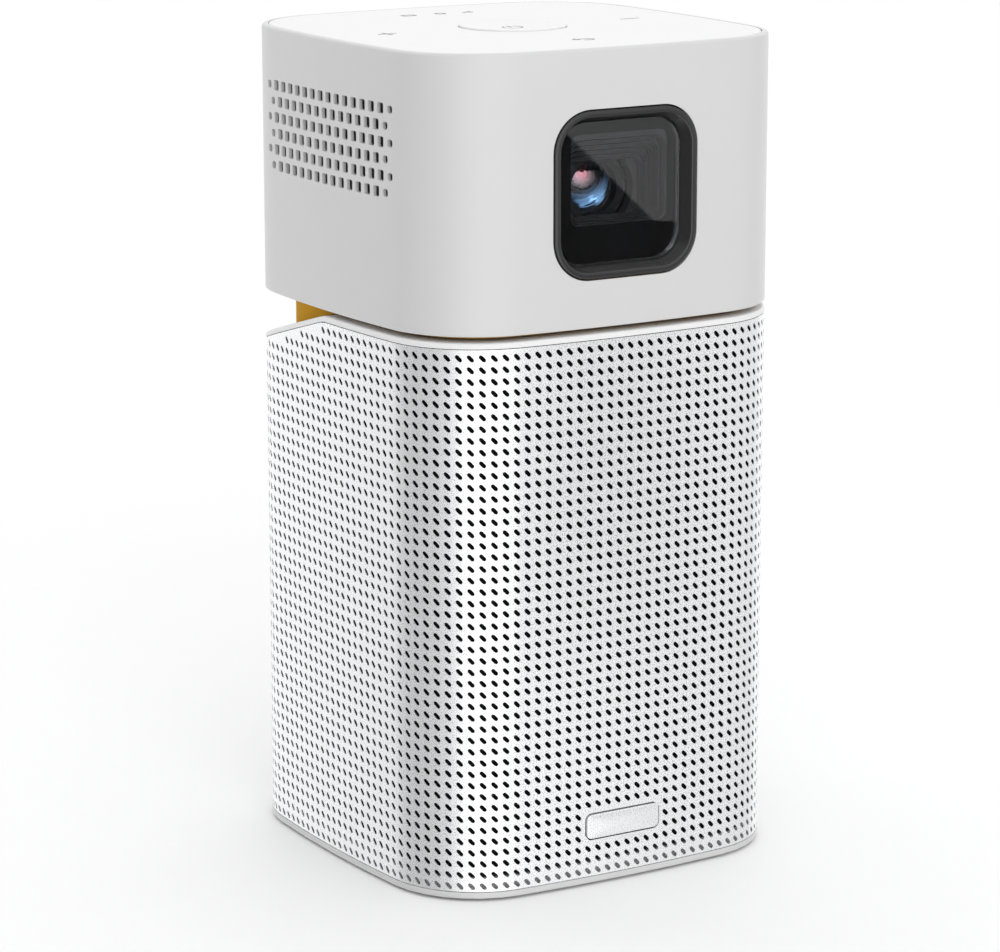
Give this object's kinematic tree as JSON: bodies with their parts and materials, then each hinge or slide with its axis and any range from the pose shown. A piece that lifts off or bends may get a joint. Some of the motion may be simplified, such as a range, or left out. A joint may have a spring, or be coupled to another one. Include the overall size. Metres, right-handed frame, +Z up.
{
  "type": "portable projector",
  "caption": "Upright square home projector: lens head tilts back on a neck over a grilled loudspeaker and battery base, with a power button and focus wheel.",
  "frame": {"origin": "centre of the square plan on the surface the foot rests on", "axes": "+Z up, the lens looks along -Y, +X is the side with the focus wheel, the vented side is -X"},
  "size_m": [0.08, 0.0802, 0.1553],
  "materials": {
    "white_shell": "satin white moulded case plastic",
    "white_metal": "silver-white fine-grain paint on sheet metal",
    "ochre_plastic": "matte ochre",
    "bezel_grey": "dark grey satin plastic",
    "black_plastic": "matt black plastic",
    "black_cloth": "black open-weave acoustic cloth",
    "clear_window": "clear polished window",
    "coated_glass": "anti-reflection coated glass",
    "rubber": "matt dark rubber",
    "steel": "plain plated steel",
    "aluminium": "die-cast and pressed aluminium",
    "copper": "bare copper",
    "brass": "plain brass",
    "board_green": "green solder-masked circuit board",
    "cell_wrap": "blue shrink wrap over a metal can",
    "cone_paper": "matt dark pressed paper"
  },
  "bodies": {
    "base": {"foot_pad": "rubber", "base_cover": "white_shell", "base_screw_1": "steel", "base_screw_2": "steel", "base_screw_3": "steel", "base_screw_4": "steel", "grille_shell": "white_metal", "grille_cloth": "black_cloth", "top_deck": "white_shell", "chassis": "black_plastic", "badge": "white_metal", "port_panel": "black_plastic", "usb_c_socket": "steel", "dc_jack": "black_plastic", "power_board": "board_green", "battery_tray": "black_plastic", "battery_cell_front": "cell_wrap", "battery_cell_back": "cell_wrap", "speaker_basket": "steel", "speaker_magnet": "steel", "speaker_surround": "rubber", "sound_deflector": "black_plastic", "neck": "ochre_plastic", "hinge_pin_right": "steel", "hinge_pin_left": "steel", "friction_washer_right": "brass", "friction_washer_left": "brass"},
    "head": {"head_shell": "white_shell", "top_cover": "white_shell", "head_frame": "steel", "hinge_arm_right": "steel", "hinge_arm_left": "steel", "key_board": "board_green", "power_switch": "black_plastic", "lens_bezel": "bezel_grey", "lens_window": "clear_window", "lens_hood": "black_plastic", "light_sensor": "bezel_grey", "focus_wheel_shaft": "steel", "light_engine_housing": "aluminium", "light_engine_lid": "aluminium", "imager_board": "board_green", "heat_sink": "aluminium", "heat_pipe": "copper", "main_board": "board_green", "led_module_left": "copper", "led_module_rear": "copper", "fan_frame": "black_plastic"},
    "reset_key": {"reset_button": "black_plastic"},
    "cone": {"speaker_cone": "cone_paper"},
    "power_key": {"power_button": "white_shell"},
    "lens": {"lens_barrel": "black_plastic", "front_lens": "coated_glass", "rear_lens": "coated_glass"},
    "wheel": {"focus_wheel": "bezel_grey"},
    "rotor": {"fan_rotor": "black_plastic"}
  },
  "joints": [
    {"name": "head_tilt", "type": "hinge", "parent": "base", "child": "head", "pos_m": [0, 0.0019, 0.10435], "axis": [-1, 0, 0], "range_deg": [0, 15]},
    {"name": "power_press", "type": "slide", "parent": "head", "child": "power_key", "axis": [0, 0, -1], "range_m": [0, 0.0004], "stiffness_N_per_m": 4000},
    {"name": "focus_turn", "type": "hinge", "parent": "head", "child": "wheel", "pos_m": [0.0312, -0.014, 0.121], "axis": [0, 0, 1], "range_deg": [-40, 40]},
    {"name": "lens_focus", "type": "slide", "parent": "head", "child": "lens", "axis": [0, -1, 0], "range_m": [-0.0015, 0.0015]},
    {"name": "fan_spin", "type": "hinge", "parent": "head", "child": "rotor", "pos_m": [0.0285, 0.01, 0.131], "axis": [1, 0, 0], "continuous": true},
    {"name": "cone_travel", "type": "slide", "parent": "base", "child": "cone", "axis": [0, 0, 1], "range_m": [-0.0015, 0.0015], "stiffness_N_per_m": 1000, "deforming": ["speaker_surround"]},
    {"name": "reset_press", "type": "slide", "parent": "base", "child": "reset_key", "axis": [0, -1, 0], "range_m": [0, 0.0003], "stiffness_N_per_m": 2000}
  ],
  "couplings": [
    {"joint": "focus_turn", "follows": "lens_focus", "rad_per_m": 454.55}
  ]
}
